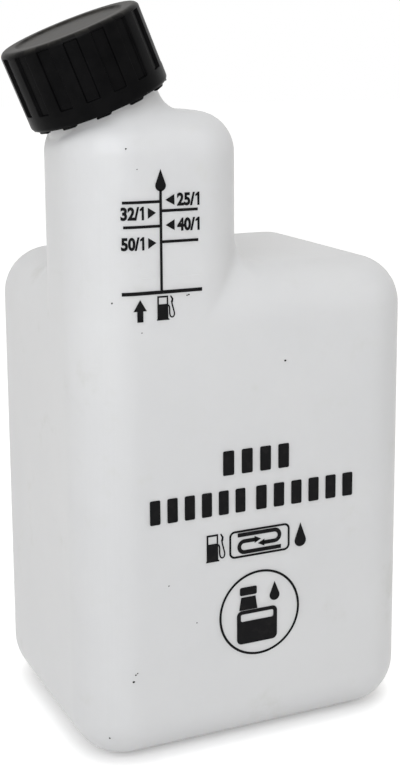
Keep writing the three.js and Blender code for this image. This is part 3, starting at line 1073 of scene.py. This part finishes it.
# Two plain digits and a stroke, bold and narrow, then a one drawn as a bar with a flag
def fillRatio(shape, body, left, right, middle, height):
    data = bpy.data.curves.new("number", "FONT")
    data.body = body
    data.fill_mode = "FRONT"
    data.offset = p["bold"]
    data.resolution_u = 4
    maker = bpy.data.objects.new("number", data)
    bpy.context.scene.collection.objects.link(maker)
    bpy.context.view_layer.update()
    low = [min(corner[axis] for corner in maker.bound_box) for axis in range(2)]
    high = [max(corner[axis] for corner in maker.bound_box) for axis in range(2)]
    bpy.data.objects.remove(maker)
    bar, flag = p["oneBar"]
    end = right - bar - flag - p["oneGap"]
    scale = ((end - left) / (high[0] - low[0]), height / (high[1] - low[1]), 1, 1)
    start = Matrix.Translation((left, middle - height / 2, 0))
    addFlat(shape, data, start @ Matrix.Diagonal(scale) @ Matrix.Translation((-low[0], -low[1], 0)))
    foot, top = middle - height / 2, middle + height / 2
    one = [(right - bar, foot), (right, foot), (right, top), (right - bar * 0.7, top)]
    upper, lower, root = (top - down for down in p["oneFlag"])
    one += [(right - bar - flag, upper), (right - bar - flag, lower), (right - bar, root)]
    fillLoops(shape, [one])


def scaleLoops():
    x, low, high, width = p["axis"]
    left, right, z, thick = p["base"]
    groups = [[boxLoop(left, right, z - thick / 2, z + thick / 2)]]
    groups.append([boxLoop(x - width / 2, x + width / 2, low + thick / 2, high)])
    for tickLeft, tickRight, z in p["ticks"]:
        groups.append([boxLoop(tickLeft, tickRight, z - p["tickWidth"] / 2, z + p["tickWidth"] / 2)])
    for marks, (tip, back) in ((p["marksRight"], p["rightPointer"]), (p["marksLeft"], p["leftPointer"])):
        for _, z in marks:
            groups.append([[(tip, z), (back, z + p["pointerHalf"]), (back, z - p["pointerHalf"])]])
    groups.append([dropLoop(*p["scaleDrop"])])
    left, right, low, high = p["upArrow"]
    middle = (left + right) / 2
    tall, half = p["arrowStem"]
    neck = low + (high - low) * tall
    stem = (right - left) * half
    arrow = [(middle - stem, low), (middle + stem, low), (middle + stem, neck)]
    arrow += [(right, neck), (middle, high), (left, neck), (middle - stem, neck)]
    groups.append([arrow])
    return groups + pumpLoops(*p["scalePump"])


def frontLoops():
    groups = []
    for left, right, low, high, count in p["barRows"]:
        pitch = (right - left + (right - left) / count * (1 - p["barShare"])) / count
        for at in range(count):
            start = left + pitch * at
            end = start + pitch * p["barShare"]
            groups.append([roundBoxLoop(start, end, low, high, p["barCorner"])])
    left, right, low, high, corner, width = p["frame"]
    outside = roundBoxLoop(left, right, low, high, corner)
    inside = roundBoxLoop(left + width, right - width, low + width, high - width, corner - width)
    x, z, radius, line = p["ring"]
    ring = [arcPoints(x, z, size, 0, 360, p["ringSteps"])[:-1] for size in (radius, radius - line)]
    groups += [[outside, inside], ring, [dropLoop(*p["frontDrop"])]]
    return groups + pumpLoops(*p["frontPump"]) + turnArrowLoops(*p["turnArrows"]) + ringSignLoops(x, z)


# The skin's y at places on the front, found along Y from outside
def frontSkin(x, z):
    outside = np.full(len(x), -b["depth"])
    inside = np.full(len(x), towerY)
    for _ in range(b["halvings"]):
        middle = (outside + inside) / 2
        deep = bottleDistance(np.column_stack([x, middle, z])) < 0
        inside = np.where(deep, middle, inside)
        outside = np.where(deep, outside, middle)
    return inside


def makePrint():
    shape = bmesh.new()
    for loops in scaleLoops() + frontLoops():
        fillLoops(shape, loops)
    for marks, (left, right) in ((p["marksRight"], p["rightText"]), (p["marksLeft"], p["leftText"])):
        for body, z in marks:
            fillRatio(shape, body, left, right, z, p["markHeight"])
    bmesh.ops.remove_doubles(shape, verts=shape.verts, dist=1e-4)
    corner = bodyPlan[0] + b["towerCorner"]
    cuts, apart = p["cornerCuts"]
    for step in range(cuts):
        geometry = shape.verts[:] + shape.edges[:] + shape.faces[:]
        place = (corner - step * apart, 0, 0)
        bmesh.ops.bisect_plane(shape, geom=geometry, plane_co=place, plane_no=(1, 0, 0))
    bmesh.ops.triangulate(shape, faces=shape.faces[:])
    bmesh.ops.recalc_face_normals(shape, faces=shape.faces[:])
    flat = np.array([vertex.co for vertex in shape.verts])
    depth = frontSkin(flat[:, 0], flat[:, 1]) - p["proud"]
    for vertex, y in zip(shape.verts, depth):
        vertex.co = (vertex.co.x, y, vertex.co.y)
    back = bmesh.ops.extrude_face_region(shape, geom=shape.faces[:], use_keep_orig=True)
    moved = [item for item in back["geom"] if isinstance(item, bmesh.types.BMVert)]
    bmesh.ops.translate(shape, verts=moved, vec=(0, p["thickness"], 0))
    bmesh.ops.recalc_face_normals(shape, faces=shape.faces[:])
    mesh = bpy.data.meshes.new("frontPrint")
    shape.to_mesh(mesh)
    shape.free()
    return mesh


frontPrint = placed("frontPrint", makePrint(), toFrame, blackInk, "bottle")
frontPrint.data.shade_flat()

# Specks of dirt: x, z on the front and how wide each is
speckSettings = {
    "places": (
        (-37.0, 168.5, 0.55),
        (-34.3, 163.3, 0.33),
        (-41.0, 129.2, 0.65),
        (-33.6, 121.1, 0.39),
        (7.9, 109.8, 0.72),
        (-37.3, 25.6, 0.78),
        (-36.7, 27.5, 0.55),
        (-36.2, 27.9, 0.44),
        (-43.2, 9.2, 0.65),
        (-26.9, 51.1, 0.44),
        (-18.8, 39.1, 0.44),
        (-20.4, 130.2, 0.55),
        (-20.9, 130.05, 0.47),
    ),
    "flat": 0.25,  # how far a speck stands out, as a share of its width
    "low": 0.75,  # its height, as a share of its width
    "roundness": 2,
}


# Small lumps, one at each point of a mesh, as wide as the point's own width says
def makeLumps():
    inputs = [("Flat", "NodeSocketFloat"), ("Low", "NodeSocketFloat"), ("Roundness", "NodeSocketInt")]
    tree, given, result = newTree("lumps", inputs + [("Material", "NodeSocketMaterial")])
    lump = tree.nodes.new("GeometryNodeMeshIcoSphere")
    lump.inputs["Radius"].default_value = 1 / 2
    tree.links.new(given.outputs["Roundness"], lump.inputs["Subdivisions"])
    named = tree.nodes.new("GeometryNodeInputNamedAttribute")
    named.data_type = "FLOAT"
    named.inputs["Name"].default_value = "width"
    width = named.outputs["Attribute"]
    size = tree.nodes.new("ShaderNodeCombineXYZ")
    copies = tree.nodes.new("GeometryNodeInstanceOnPoints")
    realize = tree.nodes.new("GeometryNodeRealizeInstances")
    paint = tree.nodes.new("GeometryNodeSetMaterial")
    tree.links.new(width, size.inputs["X"])
    tree.links.new(mathNode(tree, "MULTIPLY", width, given.outputs["Flat"]), size.inputs["Y"])
    tree.links.new(mathNode(tree, "MULTIPLY", width, given.outputs["Low"]), size.inputs["Z"])
    tree.links.new(given.outputs["Geometry"], copies.inputs["Points"])
    tree.links.new(lump.outputs["Mesh"], copies.inputs["Instance"])
    tree.links.new(size.outputs[0], copies.inputs["Scale"])
    tree.links.new(copies.outputs[0], realize.inputs[0])
    tree.links.new(realize.outputs[0], paint.inputs["Geometry"])
    tree.links.new(given.outputs["Material"], paint.inputs["Material"])
    tree.links.new(paint.outputs[0], result.inputs["Geometry"])
    return tree


def makeSpecks(settings):
    places = np.array(settings["places"])
    mesh = bpy.data.meshes.new("speckPlaces")
    depth = frontSkin(places[:, 0], places[:, 1])
    mesh.from_pydata(list(zip(places[:, 0], depth, places[:, 1])), [], [])
    layer = mesh.attributes.new("width", "FLOAT", "POINT")
    layer.data.foreach_set("value", places[:, 2])
    values = {"Flat": settings["flat"], "Low": settings["low"], "Roundness": settings["roundness"]}
    return outwards(runTree("specks", makeLumps(), mesh, values | {"Material": dirt}))


placed("specks", makeSpecks(speckSettings), toFrame, dirt, "bottle")


# Floor, light and world
stageSettings = {
    "reach": 4.0,
    "floor": (0.86, 0.86, 0.86),
    "roughness": 0.9,
    "shine": 0.1,
    "shade": (0.84, 0.836, 0.83),  # the floor's colour close to the bottle: painted shade
    "shadeFrom": 0.4,  # how open the floor is where it is darkest
    "glow": 0.5,
    "shadeGlow": 0.22,
    "nearness": 0.008,
    "world": (0.68, 0.674, 0.662),
    "lamps": [
        {"name": "key", "place": (-0.31, -0.48, 0.42), "aim": (0, 0, 0.12), "size": 0.45, "power": 2.0},
        {"name": "top", "place": (-0.12, -0.42, 0.85), "aim": (0, 0, 0.16), "size": 0.5, "power": 0.6},
    ],
    "lampColour": (0.94, 0.965, 1.0),
}


def addLamp(lamp, colour):
    data = bpy.data.lights.new(lamp["name"], "AREA")
    data.size = lamp["size"]
    data.energy = lamp["power"]
    data.color = colour
    light = bpy.data.objects.new(lamp["name"], data)
    bpy.context.scene.collection.objects.link(light)
    light.location = lamp["place"]
    light.rotation_mode = "QUATERNION"
    light.rotation_quaternion = (Vector(lamp["aim"]) - Vector(lamp["place"])).to_track_quat("-Z", "Y")


# 1 for a ray that comes from the camera, a mirror or glass
def seenRay(nodes, links):
    path = nodes.new("ShaderNodeLightPath")
    value = path.outputs["Is Camera Ray"]
    for kind in ("Is Glossy Ray", "Is Transmission Ray"):
        either = nodes.new("ShaderNodeMath")
        either.operation = "MAXIMUM"
        links.new(value, either.inputs[0])
        links.new(path.outputs[kind], either.inputs[1])
        value = either.outputs[0]
    return value


def addFloor(settings):
    reach = settings["reach"]
    corners = [(-reach, -reach, 0), (reach, -reach, 0), (reach, reach, 0), (-reach, reach, 0)]
    mesh = bpy.data.meshes.new("floor")
    mesh.from_pydata(corners, [], [(0, 1, 2, 3)])
    floor = bpy.data.objects.new("floor", mesh)
    bpy.context.scene.collection.objects.link(floor)
    material, nodes, links, shader = newMaterial("floorWhite")
    # Ambient occlusion darkens the floor's colour and lowers its glow close to the bottle: a painted contact
    # shadow on top of the cast one
    near = nodes.new("ShaderNodeAmbientOcclusion")
    near.inputs["Distance"].default_value = settings["nearness"]
    clear = nodes.new("ShaderNodeMapRange")
    clear.inputs["From Min"].default_value = settings["shadeFrom"]
    clear.inputs["From Max"].default_value = 1.0
    links.new(near.outputs["AO"], clear.inputs["Value"])
    openness = clear.outputs["Result"]
    colour = mixColour(nodes, links, openness, settings["shade"], settings["floor"])
    links.new(colour, shader.inputs["Base Color"])
    shader.inputs["Roughness"].default_value = settings["roughness"]
    shader.inputs["Specular IOR Level"].default_value = settings["shine"]
    shader.inputs["Emission Color"].default_value = (1, 1, 1, 1)
    level = nodes.new("ShaderNodeMath")
    level.operation = "MULTIPLY"
    links.new(seenRay(nodes, links), level.inputs[0])
    glow = mixValue(nodes, links, openness, settings["shadeGlow"], settings["glow"])
    links.new(glow, level.inputs[1])
    links.new(level.outputs[0], shader.inputs["Emission Strength"])
    mesh.materials.append(material)


def addWorld(settings):
    world = bpy.data.worlds.new("studio")
    bpy.context.scene.world = world
    world.use_nodes = True
    nodes, links = world.node_tree.nodes, world.node_tree.links
    colour = mixColour(nodes, links, seenRay(nodes, links), settings["world"], (1, 1, 1))
    links.new(colour, nodes["Background"].inputs["Color"])


addFloor(stageSettings)
addWorld(stageSettings)
for lamp in stageSettings["lamps"]:
    addLamp(lamp, stageSettings["lampColour"])
bpy.context.scene.view_settings.view_transform = "Standard"
print("stage and light done")
